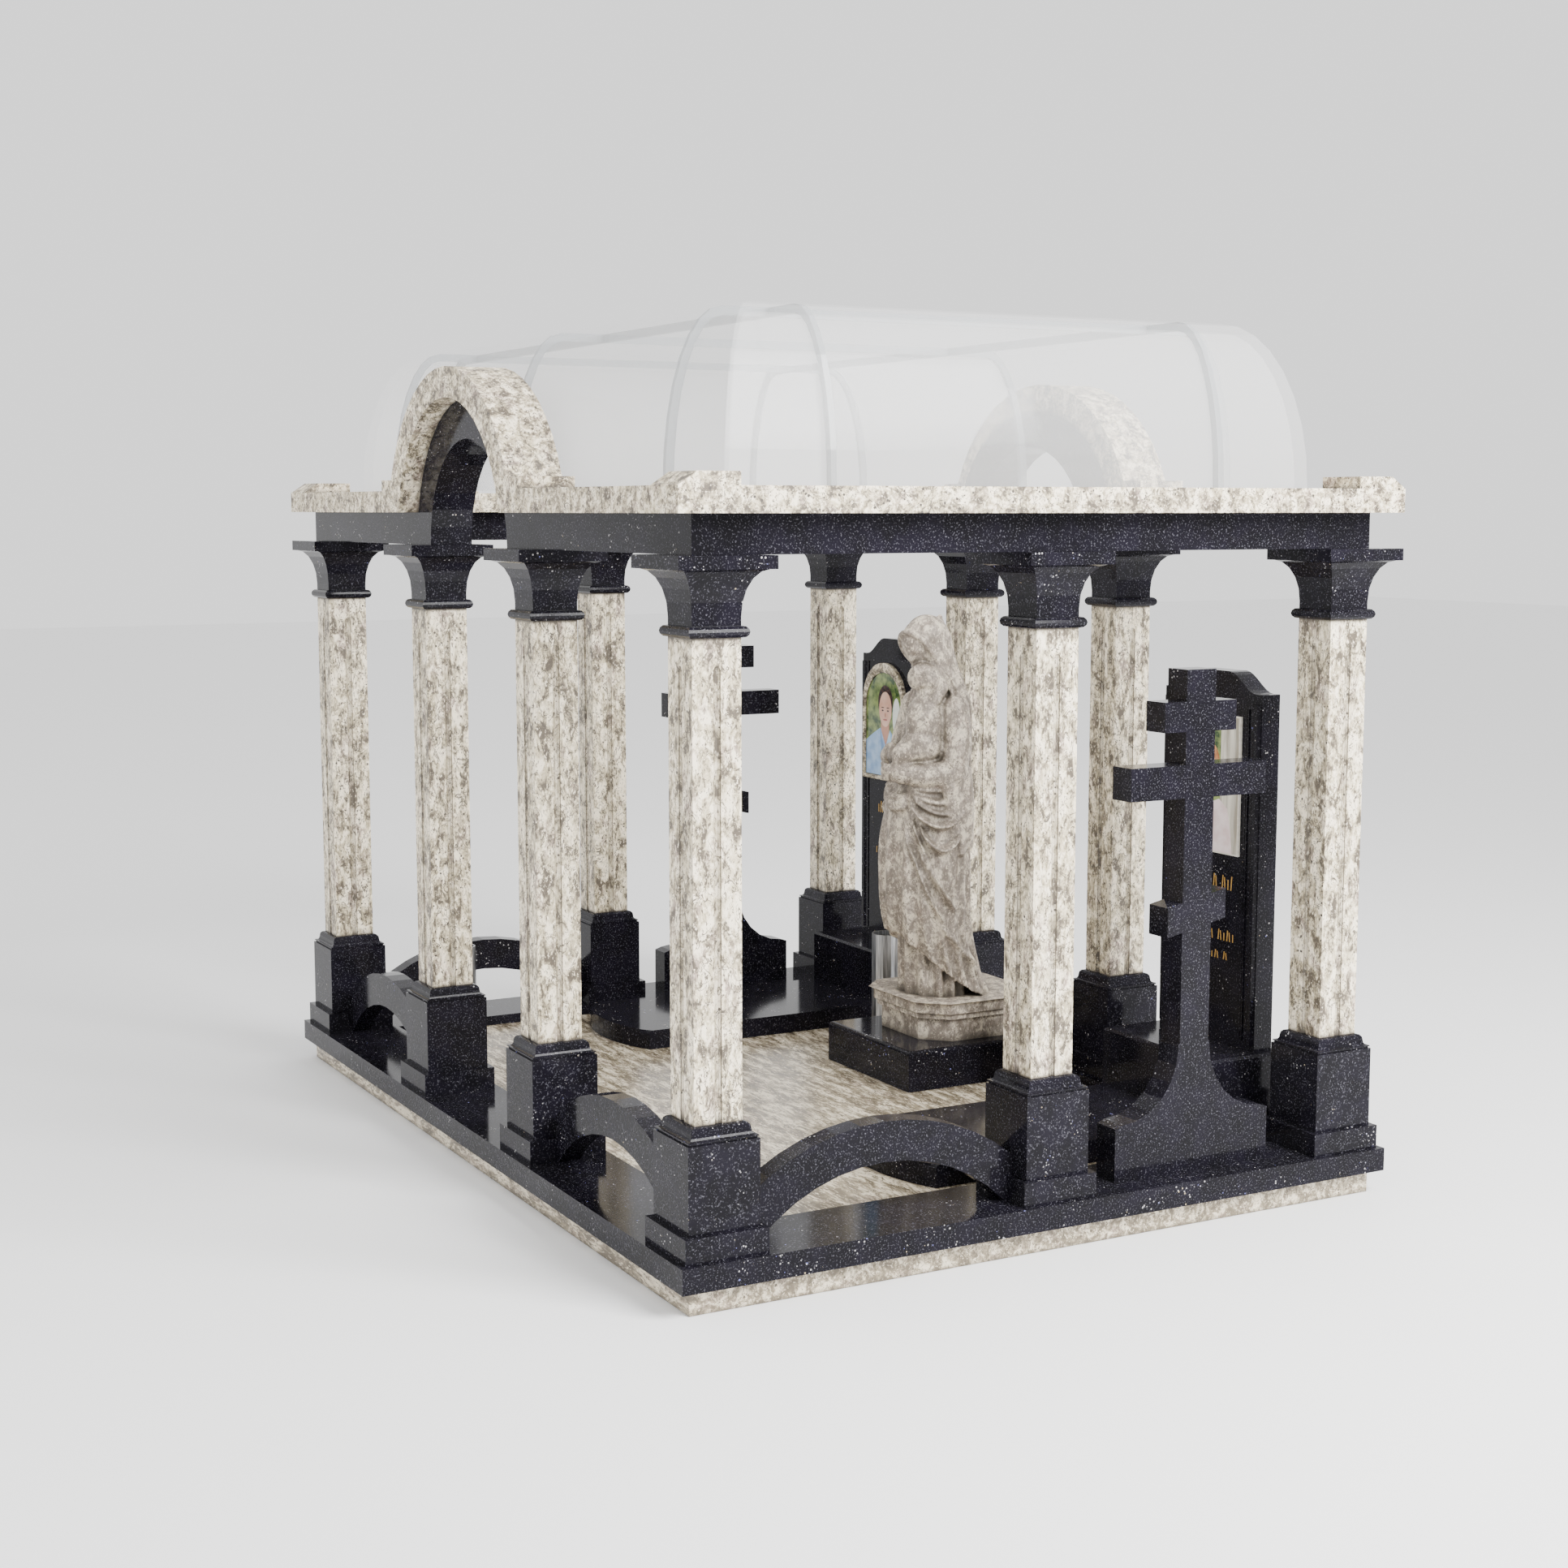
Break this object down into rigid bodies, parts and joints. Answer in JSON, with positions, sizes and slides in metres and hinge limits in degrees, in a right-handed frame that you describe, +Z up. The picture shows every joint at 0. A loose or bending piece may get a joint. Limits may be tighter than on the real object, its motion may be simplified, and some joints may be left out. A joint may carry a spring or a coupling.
{
  "type": "family crypt",
  "caption": "Open family crypt: square fluted columns on a kerb carry beams with front and rear arches and a glass roof over graves, headstones, crosses and a carved mother-and-child figure.",
  "frame": {"origin": "bottom centre of the foundation slab", "axes": "+Z up; the front arch and the statue's face look along -Y; the long side runs along X"},
  "size_m": [3.77, 2.72, 3.0003],
  "materials": {
    "light_granite": "honed granite, beige grey with fine streaks and dark specks",
    "black_granite": "polished black granite with small light sparkles",
    "clear_glass": "clear glass with a faint cool edge",
    "vase_metal": "ribbed satin metal"
  },
  "bodies": {
    "root": {"capital_a1": "black_granite", "capital_a2": "black_granite", "capital_a3": "black_granite", "capital_a4": "black_granite", "capital_b1": "black_granite", "capital_b4": "black_granite", "capital_c1": "black_granite", "capital_c2": "black_granite", "capital_c3": "black_granite", "capital_c4": "black_granite", "cross_left": "black_granite", "cross_right": "black_granite", "floor_slab": "light_granite", "foundation_slab": "light_granite", "front_beam": "black_granite", "front_cornice": "light_granite", "front_rail_left": "black_granite", "front_rail_right": "black_granite", "glass_roof": "clear_glass", "grave_slab_left": "black_granite", "grave_slab_right": "black_granite", "kerb_ring": "black_granite", "left_beam": "black_granite", "left_cornice": "light_granite", "pedestal_a1": "black_granite", "pedestal_a2": "black_granite", "pedestal_a3": "black_granite", "pedestal_a4": "black_granite", "pedestal_b1": "black_granite", "pedestal_b4": "black_granite", "pedestal_c1": "black_granite", "pedestal_c2": "black_granite", "pedestal_c3": "black_granite", "pedestal_c4": "black_granite", "rear_beam": "black_granite", "rear_cornice": "light_granite", "right_beam": "black_granite", "right_cornice": "light_granite", "shaft_a1": "light_granite", "shaft_a2": "light_granite", "shaft_a3": "light_granite", "shaft_a4": "light_granite", "shaft_b1": "light_granite", "shaft_b4": "light_granite", "shaft_c1": "light_granite", "shaft_c2": "light_granite", "shaft_c3": "light_granite", "shaft_c4": "light_granite", "side_rail_left": "black_granite", "side_rail_right": "black_granite", "socle_left": "black_granite", "socle_right": "black_granite", "statue": "light_granite", "statue_block": "black_granite", "stele_left": "black_granite", "stele_right": "black_granite", "vase_front_left": "vase_metal", "vase_front_right": "vase_metal", "vase_rear_left": "vase_metal", "vase_rear_right": "vase_metal"}
  },
  "joints": []
}
